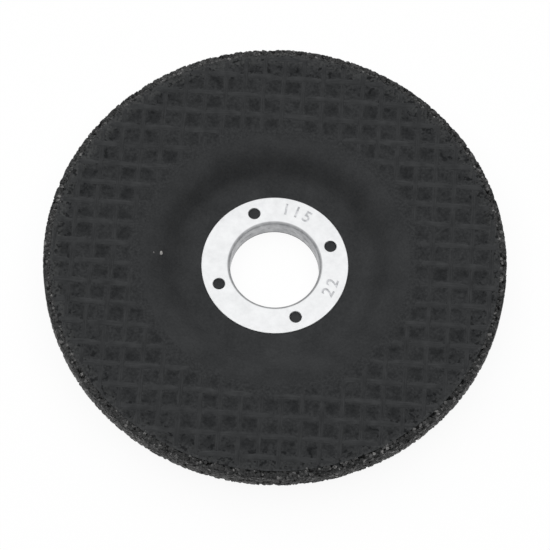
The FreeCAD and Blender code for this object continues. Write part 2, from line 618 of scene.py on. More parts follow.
@dataclass(frozen=True)
class GritFilledResin:
    """Resin and grit pressed up through the openings of the glass mesh.

    In the openings it is a little darker and rougher than the resin film over the threads, with fine
    open pores painted in as dark spots of shade. Towards the rim a pale dust clings to the film, paler
    on the lit side as painted light.
    """

    name: str = "grit_filled_resin"
    film_dark: str = "#2C2D2E"
    film_light: str = "#3C3D3E"
    cell_dark: str = "#212223"
    cell_light: str = "#303132"
    dusty: str = "#464747"
    pore_shade: str = "#151617"
    grain_mm: float = 0.7
    pore_mm: float = 1.3
    pores_from_r: float = 46.0
    dust_from_r: float = 52.6
    dust_to_r: float = 54.6

    def build(self) -> Material:
        """Makes the material. It reads the cell attribute that the openings' tree leaves on the mesh."""
        material, tree, spot = start_material(self.name)
        add = partial(add_node, tree)
        grain = add(NOISE, links={"Vector": spot, **noise(self.grain_mm, 4.0, 0.7)})
        share = add(REMAP, links={"Value": grain, **span(0.35, 0.65)})
        film = add(MIX, COLOURS, {"Factor": share, **tones(self.film_dark, self.film_light)})
        filled = add(MIX, COLOURS, {"Factor": share, **tones(self.cell_dark, self.cell_light)})
        cell = add(NOTE, {"attribute_name": "cell"})
        pressed = add(MIX, COLOURS, {"Factor": cell.outputs["Fac"], "A": film, "B": filled})
        _, _, radius = off_axis(tree, spot)
        near_rim = add(REMAP, SMOOTH, {"Value": radius, **span(self.dust_from_r * MM, self.dust_to_r * MM)})
        patchy = add(REMAP, links={"Value": grain, **span(0.35, 0.6)})
        dust = add(MATH, MULTIPLY, (near_rim, patchy))
        # Painted light: the dust is paler on the rim's lit side
        dust = add(MATH, MULTIPLY, (dust, lit_side(tree, spot, 0.35, 1.0)))
        dusted_and_lit = add(MIX, COLOURS, {"Factor": dust, "A": pressed, "B": linear(self.dusty)})
        # Where the disc was cut out, grains broke out of the film and left pores, painted in as dark spots of
        # shade
        pores = add(NOISE, links={"Vector": spot, **noise(self.pore_mm, 2.0, 0.6)})
        open_pores = add(REMAP, links={"Value": pores, **span(0.57, 0.64)})
        torn = add(REMAP, SMOOTH, {
            "Value": radius, **span(self.pores_from_r * MM, self.dust_from_r * MM, end=0.75)})
        pore_shade_share = add(MATH, MULTIPLY, (open_pores, torn))
        colour = add(MIX, COLOURS, {"Factor": pore_shade_share, "A": dusted_and_lit, "B": linear(self.pore_shade)})
        bump = add(BUMP, links={"Height": grain, "Distance": 0.08 * MM, "Strength": 1.0})
        return end_material(material, {
            "Base Color": colour, "Normal": bump, "Roughness": 0.88, "Specular IOR Level": 0.07})


class Run(Enum):
    """Which way a set of mesh threads runs. The value is its turn from +X."""

    WEFT = 0.0
    WARP = math.pi / 2


@dataclass(frozen=True)
class CoatedGlassThread:
    """Glass roving dipped in black resin and pressed flat.

    Its filaments leave faint streaks along the thread, and its resin film is a shade lighter and
    smoother than the grit between the threads. The weft is coloured paler than the warp, as painted light.
    """

    run: Run
    dark: str
    light: str
    streak_mm: float = 0.35  # real filaments are about 0.01 mm, too fine to show, so these are coarser
    streak_length_mm: float = 5.0

    def build(self) -> Material:
        """Makes the material, with its streaks along the thread."""
        material, tree, spot = start_material(f"resin_coated_glass_{self.run.name.lower()}")
        add = partial(add_node, tree)
        fine, long = per_mm(self.streak_mm), per_mm(self.streak_length_mm)
        stretch = (long, fine, fine) if self.run is Run.WEFT else (fine, long, fine)
        drawn = add("ShaderNodeMapping", links={"Vector": spot, "Scale": stretch})
        streak = add(NOISE, links={"Vector": drawn, "Scale": 1.0, "Detail": 3.0, "Roughness": 0.55})
        patch = add(NOISE, links={"Vector": spot, **noise(2.5, 3.0, 0.6)})
        both = add(MATH, MULTIPLY_ADD, (streak, 0.8, patch))
        share = add(REMAP, links={"Value": both, **span(0.65, 1.15)})
        colour = add(MIX, COLOURS, {"Factor": share, **tones(self.dark, self.light)})
        bump = add(BUMP, links={"Height": streak, "Distance": 0.08 * MM, "Strength": 1.0})
        return end_material(material, {
            "Base Color": colour, "Normal": bump, "Roughness": 0.78, "Specular IOR Level": 0.1})


@dataclass(frozen=True)
class ZincPlatedSheet:
    """Thin steel sheet, zinc plated bright and then drawn and pressed into the ring.

    The flat flange stays nearly white. The drawn lip and collar are greyer: duller drawn metal, greyed
    further with painted shade in patches, and a painted shade line runs round the collar.
    """

    name: str = "bright_zinc_plate"
    flange: str = "#F6F7F8"
    # Drawn metal, greyed with painted shade
    drawn: str = "#999A9C"
    # The painted shade line round the collar
    line: str = "#6E6F72"
    roughness: float = 0.42
    drawn_shade_from_r: float = 11.6
    drawn_shade_to_r: float = 12.05
    shade_line_z: float = 2.75

    def build(self) -> Material:
        """Makes the material."""
        material, tree, spot = start_material(self.name)
        add = partial(add_node, tree)
        xyz, _, radius = off_axis(tree, spot)
        # The collar and the lip's inner bend: duller drawn metal, greyed further with painted shade in
        # patches
        drawn = add(REMAP, SMOOTH, {
            "Value": radius, **span(self.drawn_shade_from_r * MM, self.drawn_shade_to_r * MM, 1.0, 0.0)})
        patch = add(NOISE, links={"Vector": spot, **noise(2.2, 5.0, 0.65)})
        fine = add(NOISE, links={"Vector": spot, **noise(0.5, 3.0, 0.6)})
        tint = add(REMAP, links={"Value": patch, **span(0.35, 0.7, 0.0, 0.14)})
        patchy_shade = add(REMAP, links={"Value": patch.outputs["Color"], **span(0.35, 0.6, 0.76)})
        drawn = add(MATH, MULTIPLY, (drawn, patchy_shade))
        share = add(MATH, MOST, (tint, drawn))
        plated = add(MIX, COLOURS, {"Factor": share, **tones(self.flange, self.drawn)})
        # A painted shade line round the collar
        off_line = add(MATH, SUBTRACT, (xyz.outputs["Z"], self.shade_line_z * MM))
        away = add(MATH, ABSOLUTE, (off_line,))
        line = add(REMAP, SMOOTH, {"Value": away, **span(0.1 * MM, 0.45 * MM, 1.0, 0.0)})
        broken = add(REMAP, links={"Value": patch, **span(0.45, 0.6)})
        line = add(MATH, MULTIPLY, (line, broken))
        shade_line_share = add(MATH, MULTIPLY, (line, drawn))
        colour = add(MIX, COLOURS, {"Factor": shade_line_share, "A": plated, "B": linear(self.line)})
        gloss = add(REMAP, links={
            "Value": patch, **span(0.3, 0.7, self.roughness - 0.07, self.roughness + 0.08)})
        bump = add(BUMP, links={"Height": fine, "Distance": 0.012 * MM, "Strength": 1.0})
        return end_material(material, {
            "Base Color": colour, "Roughness": gloss, "Normal": bump, "Metallic": 1.0})


@dataclass(frozen=True)
class StampedZinc:
    """The floor of a stamped stroke, where the plating is duller and greyed by painted shade, in patches."""

    name: str = "stamped_zinc"
    bright: str = "#E6E7E9"
    dull_and_shaded: str = "#B9BABD"

    def build(self) -> Material:
        """Makes the material."""
        material, tree, spot = start_material(self.name)
        # Painted shade in the stroke, in patches
        stroke_shade = add_node(tree, NOISE, links={"Vector": spot, **noise(0.9, 3.0, 0.6)})
        share = add_node(tree, REMAP, links={"Value": stroke_shade, **span(0.35, 0.65)})
        colour = add_node(tree, MIX, COLOURS, {"Factor": share, **tones(self.bright, self.dull_and_shaded)})
        return end_material(material, {"Base Color": colour, "Metallic": 1.0, "Roughness": 0.6})


@dataclass
class AbrasiveWheel:
    """The pressed wheel: its dished body with a pitted rim, and the grains that stand out of the rim."""

    skin: Material
    rim: Material
    grains: Material
    hub_corner_r: float = 26.59
    back_corner_r: float = 30.81
    face_corner_r: float = 29.11
    floor_corner_r: float = 24.0
    bore_bend: float = 0.25
    hub_bend: float = 4.0
    back_bend: float = 4.0
    face_bend: float = 6.0
    floor_bend: float = 5.0
    chamfer: float = 0.2
    rim_step: float = 0.27
    rim_starts: float = 55.6
    rim_blend: float = 0.35
    outside_from_r: float = 56.7
    outside_to_r: float = 57.2
    pit_size: float = 1.1
    pit_depth: float = 0.55
    pit_line_r: float = 56.15
    pit_line_wander: float = 0.35
    clump_size: float = 5.0
    grain_size: float = 0.9
    grain_depth: float = 0.42
    grain_cover: float = 0.95  # grains to the square millimetre
    grain_sunk: float = 0.22
    grain_margin: float = 0.1
    grain_clearance: float = 0.02  # from the wheel's two faces
    grain_shapes: int = 5
    smallest_grain: float = 0.5
    largest_grain: float = 1.2
    reach: float = 57.49
    seed: int = 11
    chips: tuple[tuple[float, float, float, float], ...] = (  # x, y, z and tone
        (-28.2, 0.15, 9.0, 0.97),
        (-30.1, 0.0, 9.4, 0.8),
    )
    chip_size: tuple[float, float, float] = (0.95, 1.45, 0.7)
    chip_facets: tuple[float, ...] = (1.0, 0.72, 0.86, 1.1)  # how far its corners stand out, in turn

    def corners(self) -> list[Corner]:
        """The wheel's section, with the ring's seat and the mesh's pocket in each face."""
        step, edge = self.rim_step, self.chamfer
        return [
            Corner(BORE_R, 0, self.bore_bend),
            Corner(self.hub_corner_r, 0, self.hub_bend),
            Corner(self.back_corner_r, BACK_Z, self.back_bend),
            Corner(BACK_MESH_INNER_R, BACK_Z),
            Corner(BACK_MESH_INNER_R, BACK_Z + MESH_THICKNESS),
            Corner(MESH_OUTER_R, BACK_Z + MESH_THICKNESS),
            Corner(MESH_OUTER_R, BACK_Z, step=step),
            Corner(WHEEL_R - edge, BACK_Z, step=step),
            Corner(WHEEL_R, BACK_Z + edge, step=step),
            Corner(WHEEL_R, FACE_Z - edge, step=step),
            Corner(WHEEL_R - edge, FACE_Z, step=step),
            Corner(MESH_OUTER_R, FACE_Z),
            Corner(MESH_OUTER_R, FACE_Z - MESH_THICKNESS),
            Corner(FRONT_MESH_INNER_R, FACE_Z - MESH_THICKNESS),
            Corner(FRONT_MESH_INNER_R, FACE_Z),
            Corner(self.face_corner_r, FACE_Z, self.face_bend),
            Corner(self.floor_corner_r, FLOOR_Z, self.floor_bend),
            Corner(FLANGE_R, FLOOR_Z),
            Corner(FLANGE_R, FLANGE_UNDERSIDE_Z),
            Corner(COLLAR_R, FLANGE_UNDERSIDE_Z, LIP_INSIDE_BEND),
            Corner(COLLAR_R, COLLAR_LOW_Z),
            Corner(BORE_R, COLLAR_LOW_Z),
        ]

    def pitting_tree(self, sizes: Mapping[str, object]) -> Tree:
        """Builds the tree that eats pits into the rim.

        Args:
            sizes: What the tree takes.

        Returns:
            A tree that moves only points beyond Rim Start, always into the wheel.
        """
        tree, given = geometry_tree("pitted_rim", sizes)
        add = partial(add_node, tree)
        spot = add(POSITION)
        normal = add("GeometryNodeInputNormal")
        _, _, radius = off_axis(tree, spot)
        full = add(MATH, ADD, (given["Rim Start"], given["Rim Blend"]))
        mask = add(REMAP, SMOOTH, {"Value": radius, **span(given["Rim Start"], full)})
        pit_scale = add(MATH, DIVIDE, (1.0, given["Pit Size"]))
        pits = add(NOISE, {"noise_dimensions": "4D"}, {
            "Vector": spot, "W": given["Seed"], "Scale": pit_scale, "Detail": 2.0, "Roughness": 0.6})
        # Grains break out most along the mesh's trimmed edge
        clumps = add(NOISE, links={"Vector": spot, **noise(self.clump_size, 2.0, 0.6)})
        sway = self.pit_line_wander * MM
        wander = add(REMAP, links={"Value": clumps, **span(0.3, 0.7, -sway, sway)})
        line = add(MATH, ADD, (wander, given["Pit Line Radius"]))
        # On the lit side the pit line lies further out and fewer pits open, which lightens that side as
        # painted light
        line = add(MATH, ADD, (line, lit_side(tree, spot, -0.15 * MM, 0.95 * MM)))
        from_line = add(MATH, SUBTRACT, (radius, line))
        off_line = add(MATH, ABSOLUTE, (from_line,))
        more = add(REMAP, links={"Value": off_line, **span(0.1 * MM, 0.8 * MM, 0.07, 0.0)})
        clumped = add(REMAP, links={"Value": clumps.outputs["Color"], **span(0.35, 0.65, -0.06, 0.06)})
        more = add(MATH, ADD, (more, clumped))
        likely = add(MATH, ADD, (pits, more))
        # Fewer pits on the lit side, as painted light
        likely = add(MATH, ADD, (likely, lit_side(tree, spot, 0.025, -0.05)))
        pitted = add(REMAP, SMOOTH, {"Value": likely, **span(0.56, 0.66)})
        grain_scale = add(MATH, DIVIDE, (1.0, given["Grain Size"]))
        grains = add("ShaderNodeTexVoronoi", links={"Vector": spot, "Scale": grain_scale})
        between = add(REMAP, links={"Value": grains.outputs["Distance"], **span(0.42, 0.85)})
        # The outside is broken off more evenly than the flat
        evenness = add(REMAP, links={
            "Value": radius, **span(self.outside_from_r * MM, self.outside_to_r * MM, 1.0, 0.4)})
        depth = add(MATH, MULTIPLY, (evenness, given["Pit Depth"]))
        pit_part = add(MATH, MULTIPLY, (pitted, depth))
        deep = add(MATH, MULTIPLY_ADD, (between, given["Grain Depth"], pit_part))
        inward = add(MATH, MULTIPLY, (deep, mask))
        inward = add(MATH, MULTIPLY, (inward, -1.0))
        move = add(VECTORS, SCALE, {0: normal, "Scale": inward})
        # The pits are painted nearly black: the black bond, darkened with painted shade
        pit_shade_mask = add(MATH, MULTIPLY, (pitted, mask))
        noted = add(STORE, ON_POINTS, {"Geometry": given["Geometry"], "Name": "pit", "Value": pit_shade_mask})
        moved = add(MOVE, links={"Geometry": noted, "Offset": move})
        return end_tree(tree, moved)

    def body(self) -> Piece:
        """Makes the wheel's body, smooth inside and pitted along the rim.

        Returns:
            The piece, with the moulded skin inside the mesh's outer edge and bare grit outside it.
        """
        shell = TurnedShell(self.corners(), segments=288, rim_segments=1152, rim_from_r=MESH_OUTER_R - 0.01)
        mesh = shell.mesh("wheel_body")
        mesh.materials.append(self.skin)
        mesh.materials.append(self.rim)
        for face in mesh.polygons:
            face.material_index = int(math.hypot(face.center.x, face.center.y) > MESH_OUTER_R * MM)
        sizes = {
            "Rim Start": self.rim_starts * MM,
            "Rim Blend": self.rim_blend * MM,
            "Pit Size": self.pit_size * MM,
            "Pit Depth": self.pit_depth * MM,
            "Pit Line Radius": self.pit_line_r * MM,
            "Grain Size": self.grain_size * MM,
            "Grain Depth": self.grain_depth * MM,
            "Seed": float(self.seed),
        }
        return grow("wheel_body", mesh, self.pitting_tree(sizes), sizes)

    def grain_tree(self, sizes: Mapping[str, object]) -> Tree:
        """Builds the tree that scatters broken grains over a surface.

        Args:
            sizes: What the tree takes.

        Returns:
            A tree that keeps every grain within Reach of the axis and between Low and High.
        """
        tree, given = geometry_tree("scattered_grains", sizes)
        add = partial(add_node, tree)
        points = add("GeometryNodeDistributePointsOnFaces", links={
            "Mesh": given["Geometry"], "Density": given["Cover"], "Seed": given["Seed"]})
        shapes = add("GeometryNodeJoinGeometry")
        for k in range(self.grain_shapes):
            ball = add("GeometryNodeMeshIcoSphere", links={"Radius": 0.5, "Subdivisions": 1})
            rough = add(NOISE, {"noise_dimensions": "4D"}, {
                "Vector": add(POSITION), "W": 3.7 * k, "Scale": 1.6, "Detail": 0.0})
            off = add(VECTORS, SUBTRACT, (rough.outputs["Color"], NOISE_MIDDLE))
            pull = add(VECTORS, SCALE, {0: off, "Scale": 1.1})
            broken = add(MOVE, links={"Geometry": ball.outputs["Mesh"], "Offset": pull})
            one = add("GeometryNodeGeometryToInstance", links=(broken,))
            tree.links.new(one.outputs[0], shapes.inputs[0])
        which = add(RANDOM, {"data_type": "INT"}, {
            "Min": 0, "Max": self.grain_shapes - 1, "Seed": given["Seed"]})
        turn = add(RANDOM, {"data_type": "FLOAT_VECTOR"}, {
            "Min": (0.0, 0.0, 0.0), "Max": (2 * math.pi,) * 3, "Seed": 5})
        size = add(RANDOM, {"data_type": "FLOAT"}, {
            "Min": given["Smallest"], "Max": given["Largest"], "Seed": 7})
        rotation = add("FunctionNodeEulerToRotation", links={"Euler": turn})
        set_in = add(INSTANCES, links={
            "Points": points.outputs["Points"], "Instance": shapes, "Pick Instance": True,
            "Instance Index": which, "Rotation": rotation, "Scale": size})
        tone = add(RANDOM, {"data_type": "FLOAT"}, {"Min": 0.0, "Max": 1.0, "Seed": 9})
        height = add(SPLIT_XYZ, links={"Vector": add(POSITION)}).outputs["Z"]
        # Grain tones darken towards the face: painted shade, like the rim's darker band near the face
        film_and_painted_light = add(REMAP, links={"Value": height, **span(given["Low"], given["High"], 1.0, 0.84)})
        tone = add(MATH, MULTIPLY, (tone, film_and_painted_light))
        toned = add(STORE, {"data_type": "FLOAT", "domain": "INSTANCE"}, {
            "Geometry": set_in, "Name": "tone", "Value": tone})
        real = add(REALIZE, links={"Geometry": toned})
        xyz, flat, radius = off_axis(tree, add(POSITION))
        ratio = add(MATH, DIVIDE, (given["Reach"], radius))
        kept = add(MATH, LEAST, (ratio, 1.0))
        inside = add(VECTORS, SCALE, {0: flat, "Scale": kept})
        lifted = add(MATH, MOST, (xyz.outputs["Z"], given["Low"]))
        height = add(MATH, LEAST, (lifted, given["High"]))
        upward = add(JOIN_XYZ, links={"Z": height})
        place_at = add(VECTORS, ADD, (inside, upward))
        kept_in = add(MOVE, links={"Geometry": real, "Position": place_at})
        return end_tree(tree, kept_in, given["Material"])

    def rim_grains(self) -> Piece:
        """Scatters grains over the rim, half sunk in it.

        Returns:
            The grains as one piece.
        """
        inner, sunk = MESH_OUTER_R + self.grain_margin, self.grain_sunk
        band = TurnedShell([
            Corner(inner, BACK_Z + sunk),
            Corner(WHEEL_R - sunk, BACK_Z + sunk),
            Corner(WHEEL_R - sunk, FACE_Z - sunk),
            Corner(inner, FACE_Z - sunk),
        ], segments=256).mesh("grain_bed")
        sizes = {
            "Cover": self.grain_cover / MM ** 2,
            "Smallest": self.smallest_grain * MM,
            "Largest": self.largest_grain * MM,
            "Reach": self.reach * MM,
            "Low": (BACK_Z + self.grain_clearance) * MM,
            "High": (FACE_Z - self.grain_clearance) * MM,
            "Seed": self.seed,
            "Material": self.grains,
        }
        return grow("rim_grains", band, self.grain_tree(sizes), sizes)

    def pale_chips(self) -> Piece:
        """Makes the few bare grains that show at the top of the slope, to the left of the ring.

        Returns:
            The grains as one piece, each sunk by a third in the slope's upper bend.
        """
        chips = bmesh.new()
        shades = []
        for x, y, z, tone in self.chips:
            grain = bmesh.ops.create_icosphere(chips, subdivisions=1, radius=0.5)["verts"]
            for k, vertex in enumerate(grain):
                vertex.co *= self.chip_facets[k % len(self.chip_facets)]
            size = Matrix.Diagonal((*(length * MM for length in self.chip_size), 1))
            placed = Matrix.Translation(Vector((x, y, z)) * MM) @ size
            bmesh.ops.transform(chips, matrix=placed, verts=grain)
            shades += [tone] * len(grain)
        bmesh.ops.recalc_face_normals(chips, faces=chips.faces)
        mesh = as_mesh("pale_chips", chips)
        mesh.attributes.new("tone", "FLOAT", "POINT").data.foreach_set("value", shades)
        mesh.materials.append(self.grains)
        return on_stage("pale_chips", mesh)

    def build(self) -> list[Piece]:
        """Builds the wheel's pieces and puts them on the disc."""
        return [
            place(self.body(), "abrasive_body"),
            place(self.rim_grains(), "abrasive_body"),
            place(self.pale_chips(), None),
        ]


@dataclass
class WovenFace:
    """The glass mesh in one face of the wheel: resin in its openings, and its threads in two sets."""

    side: str
    node: str
    level: float
    outward: int
    inner_r: float
    resin: Material
    threads: Mapping[Run, Material]
    outer_r: float = MESH_OUTER_R
    warp_spacing: float = 4.94
    weft_spacing: float = 5.36
    warp_off_centre: float = -0.9
    weft_off_centre: float = 1.3
    turn: float = -1.1  # degrees
    thread_width: float = 1.8
    thread_height: float = 0.34
    wave: float = 0.035
    strand_gap: float = 0.5
    strand_share: float = 0.41  # of the thread's width
    thread_step: float = 0.5
    bed_depth: float = 0.06
    bed_step: float = 0.42
    cell_depth: float = 0.38
    opening_from: float = 0.4  # thread widths from a thread's middle
    opening_to: float = 0.84
    warp_slimmer: float = 0.3
    inner_hem: float = 3.6
    outer_hem: float = 0.8
    wander: float = 0.35
    wander_length: float = 16.0
    filling_length: float = 5.0
    tooth_size: float = 0.9
    tooth_depth: float = 0.07

    def face_sizes(self) -> dict[str, float]:
        """The sizes that the resin and both thread sets share."""
        return {
            "Outward": float(self.outward),
            "Inner Radius": self.inner_r * MM,
            "Outer Radius": self.outer_r * MM,
            "Inner Hem": self.inner_hem * MM,
            "Outer Hem": self.outer_hem * MM,
            "Wander": self.wander * MM,
        }

    def wander_field(self, tree: Tree, amount: object) -> Node:
        """Adds the slow drift that pulls threads and openings off the straight, the same for both.

        Args:
            tree: The tree that takes the nodes.
            amount: The socket that gives the largest drift.

        Returns:
            The node that gives the drift as a vector.
        """
        add = partial(add_node, tree)
        spot = add(POSITION)
        drift = add(NOISE, links={"Vector": spot, **noise(self.wander_length, 1.0)})
        centred = add(VECTORS, SUBTRACT, (drift.outputs["Color"], NOISE_MIDDLE))
        flat = add(VECTORS, MULTIPLY, (centred, (2.0, 2.0, 0.0)))
        return add(VECTORS, SCALE, {0: flat, "Scale": amount})

    def edge_mask(self, tree: Tree, given: Mapping[str, Socket]) -> Node:
        """Adds the mask that fades the weave out at both of its edges.

        Args:
            tree: The tree that takes the nodes.
            given: The tree's inputs, with both edges' radii and hems.

        Returns:
            The node that gives 1 over the weave and 0 at its edges.
        """
        add = partial(add_node, tree)
        _, _, radius = off_axis(tree, add(POSITION))
        inside = add(MATH, ADD, (given["Inner Radius"], given["Inner Hem"]))
        outside = add(MATH, SUBTRACT, (given["Outer Radius"], given["Outer Hem"]))
        rising = add(REMAP, SMOOTH, {"Value": radius, **span(given["Inner Radius"], inside)})
        falling = add(REMAP, SMOOTH, {"Value": radius, **span(outside, given["Outer Radius"], 1.0, 0.0)})
        return add(MATH, LEAST, (rising, falling))

    def resin_tree(self, sizes: Mapping[str, object]) -> Tree:
        """Builds the tree that sinks the openings into a flat bed of resin.

        Args:
            sizes: What the tree takes.

        Returns:
            A tree that moves only points at Level, and only into the wheel.
        """
        tree, given = geometry_tree(f"{self.side}_openings", sizes)
        add = partial(add_node, tree)
        spot = add(POSITION)
        drift = self.wander_field(tree, given["Wander"])
        straight = add(VECTORS, SUBTRACT, (spot, drift))
        squared = add("ShaderNodeVectorRotate", {"rotation_type": "Z_AXIS", "invert": True}, {
            "Vector": straight, "Angle": given["Turn"]})
        centred = add(VECTORS, SUBTRACT, (squared, given["Off Centre"]))
        xyz = add(SPLIT_XYZ, links={"Vector": centred})
        across = []
        for axis, spacing, slimmer in (("X", "Warp Spacing", self.warp_slimmer), ("Y", "Weft Spacing", 0.0)):
            half = add(MATH, MULTIPLY, (given[spacing], 0.5))
            away = add(MATH, {"operation": "PINGPONG"}, (xyz.outputs[axis], half))
            across.append(add(MATH, ADD, (away, slimmer * MM)))
        nearest = add(MATH, LEAST, (across[0], across[1]))
        starts = add(MATH, MULTIPLY, (given["Thread Width"], self.opening_from))
        ends = add(MATH, MULTIPLY, (given["Thread Width"], self.opening_to))
        opening = add(REMAP, SMOOTH, {"Value": nearest, **span(starts, ends)})
        more = add(MATH, SUBTRACT, (given["Cell Depth"], given["Bed Depth"]))
        # The press fills some openings nearly flush and leaves others deep
        filling = add(NOISE, links={"Vector": spot, **noise(self.filling_length, 2.0, 0.6)})
        emptiness = add(REMAP, links={"Value": filling, **span(0.38, 0.62, 0.1)})
        opening = add(MATH, MULTIPLY, (opening, emptiness))
        sunk = add(MATH, MULTIPLY_ADD, (opening, more, given["Bed Depth"]))
        tooth = add(NOISE, links={"Vector": spot, **noise(self.tooth_size, 2.0, 0.6)})
        rough = add(MATH, MULTIPLY_ADD, (tooth, self.tooth_depth * MM, sunk))
        mask = self.edge_mask(tree, given)
        faded = add(MATH, MULTIPLY, (rough, mask))
        cell = add(MATH, MULTIPLY, (opening, mask))
        noted = add(STORE, ON_POINTS, {"Geometry": given["Geometry"], "Name": "cell", "Value": cell})
        inward = add(MATH, MULTIPLY, (faded, given["Outward"]))
        down = add(MATH, MULTIPLY, (inward, -1.0))
        offset = add(JOIN_XYZ, links={"Z": down})
        here = add(SPLIT_XYZ, links={"Vector": spot})
        on_top = add("FunctionNodeCompare", {"data_type": "FLOAT", "operation": "EQUAL"}, {
            "A": here.outputs["Z"], "B": given["Level"], "Epsilon": 0.01 * MM})
        moved = add(MOVE, links={"Geometry": noted, "Selection": on_top, "Offset": offset})
        return end_tree(tree, moved, given["Material"])

    def resin_bed(self) -> Piece:
        """Makes the resin between and under the threads.

        Returns:
            The piece: a closed ring whose outer side has the openings sunk into it.
        """
        inside = self.level - self.outward * MESH_THICKNESS
        bed = TurnedShell([
            Corner(self.inner_r, inside),
            Corner(self.outer_r, inside),
            Corner(self.outer_r, self.level, step=self.bed_step),
            Corner(self.inner_r, self.level),
        ], segments=720).mesh(f"{self.side}_resin")
        sizes = {
            "Warp Spacing": self.warp_spacing * MM,
            "Weft Spacing": self.weft_spacing * MM,
            "Off Centre": (self.warp_off_centre * MM, self.weft_off_centre * MM, 0.0),
            "Turn": math.radians(self.turn),
            "Thread Width": self.thread_width * MM,
            "Bed Depth": self.bed_depth * MM,
            "Cell Depth": self.cell_depth * MM,
            "Level": self.level * MM,
            "Material": self.resin,
            **self.face_sizes(),
        }
        return grow(f"{self.side}_resin", bed, self.resin_tree(sizes), sizes)

    def thread_tree(self, sizes: Mapping[str, object]) -> Tree:
        """Builds the tree that lays one set of threads over a ring and waves them over and under.

        Args:
            sizes: What the tree takes.

        Returns:
            A tree whose threads run along X before Turn, each of one strand or several side by side.
        """
        tree, given = geometry_tree(f"{self.side}_threads", sizes)
        add = partial(add_node, tree)
        rows = add("GeometryNodeMeshLine", links={
            "Count": given["Rows"], "Start Location": add(JOIN_XYZ, links={"Y": given["Row Start"]}),
            "Offset": add(JOIN_XYZ, links={"Y": given["Spacing"]})})
        last = add(MATH, SUBTRACT, (given["Strands"], 1.0))
        spread = add(MATH, MULTIPLY, (last, given["Strand Gap"]))
        first = add(MATH, MULTIPLY, (spread, -0.5))
        strands = add("GeometryNodeMeshLine", links={
            "Count": given["Strands"], "Start Location": add(JOIN_XYZ, links={"Y": first}),
            "Offset": add(JOIN_XYZ, links={"Y": given["Strand Gap"]})})
        starts = add(INSTANCES, links={"Points": strands, "Instance": rows})
        start_points = add(REALIZE, links={"Geometry": starts})
        along = add("GeometryNodeMeshLine", links={
            "Count": given["Steps"], "Start Location": add(JOIN_XYZ, links={"X": given["Cross Start"]}),
            "Offset": add(JOIN_XYZ, links={"X": given["Step"]})})
        laid = add(INSTANCES, links={"Points": start_points, "Instance": along})
        lines = add(REALIZE, links={"Geometry": laid})

        # The wave goes over one crossing and under the next, and the next row does the opposite
        xyz = add(SPLIT_XYZ, links={"Vector": add(POSITION)})
        counts = []
        for axis, start, apart in (("X", "Cross Start", "Cross Spacing"), ("Y", "Row Start", "Spacing")):
            gone = add(MATH, SUBTRACT, (xyz.outputs[axis], given[start]))
            counts.append(add(MATH, DIVIDE, (gone, given[apart])))
        crossings = add(MATH, ADD, (counts[0], counts[1]))
        phase = add(MATH, MULTIPLY, (crossings, math.pi))
        swing = add(MATH, {"operation": "COSINE"}, (phase,))
        wave = add(MATH, MULTIPLY, (swing, given["Wave"]))
        rise = add(MATH, MULTIPLY, (wave, given["Outward"]))
        height = add(MATH, ADD, (rise, given["Level"]))
        waved = add(MOVE, links={"Geometry": lines, "Offset": add(JOIN_XYZ, links={"Z": height})})
        about = add("FunctionNodeEulerToRotation", links={"Euler": add(JOIN_XYZ, links={"Z": given["Turn"]})})
        turned = add("GeometryNodeTransform", links={"Geometry": waved, "Rotation": about})

        # Both sets drift with one field, so that they still cross where the openings say
        drift = self.wander_field(tree, given["Wander"])
        drifted = add(MOVE, links={"Geometry": turned, "Offset": drift})
        mask = self.edge_mask(tree, given)
        outside = add("FunctionNodeCompare", {"data_type": "FLOAT", "operation": "LESS_EQUAL"}, {
            "A": mask, "B": 0.02})
        cut = add("GeometryNodeDeleteGeometry", {"domain": "POINT"}, {
            "Geometry": drifted, "Selection": outside})
        lost = add(MATH, SUBTRACT, (1.0, mask))
        depth = add(MATH, MULTIPLY, (lost, given["Thread Height"]))
        inward = add(MATH, MULTIPLY, (depth, given["Outward"]))
        down = add(MATH, MULTIPLY, (inward, -1.0))
        dipped = add(MOVE, links={"Geometry": cut, "Offset": add(JOIN_XYZ, links={"Z": down})})
        curves = add("GeometryNodeMeshToCurve", links={"Mesh": dipped})
        upright = add("GeometryNodeSetCurveNormal", {"mode": "Z_UP"}, {"Curve": curves})
        circle = add("GeometryNodeCurvePrimitiveCircle", links={"Resolution": 8, "Radius": 0.5})
        oval = add(JOIN_XYZ, links={"X": given["Strand Width"], "Y": given["Thread Height"], "Z": 1.0})
        section = add("GeometryNodeTransform", links={"Geometry": circle.outputs["Curve"], "Scale": oval})
        tubes = add("GeometryNodeCurveToMesh", links={
            "Curve": upright, "Profile Curve": section, "Fill Caps": True})
        smooth = add("GeometryNodeSetShadeSmooth", links={"Geometry": tubes})
        return end_tree(tree, smooth, given["Material"])

    def thread_set(self, run: Run) -> Piece:
        """Lays one set of threads.

        Args:
            run: Which way they run. The warp is in pairs of strands, as in leno glass mesh.

        Returns:
            The set as one piece.
        """
        paired = run is Run.WARP
        apart = [self.weft_spacing, self.warp_spacing]
        middles = [self.weft_off_centre, self.warp_off_centre]
        if paired:
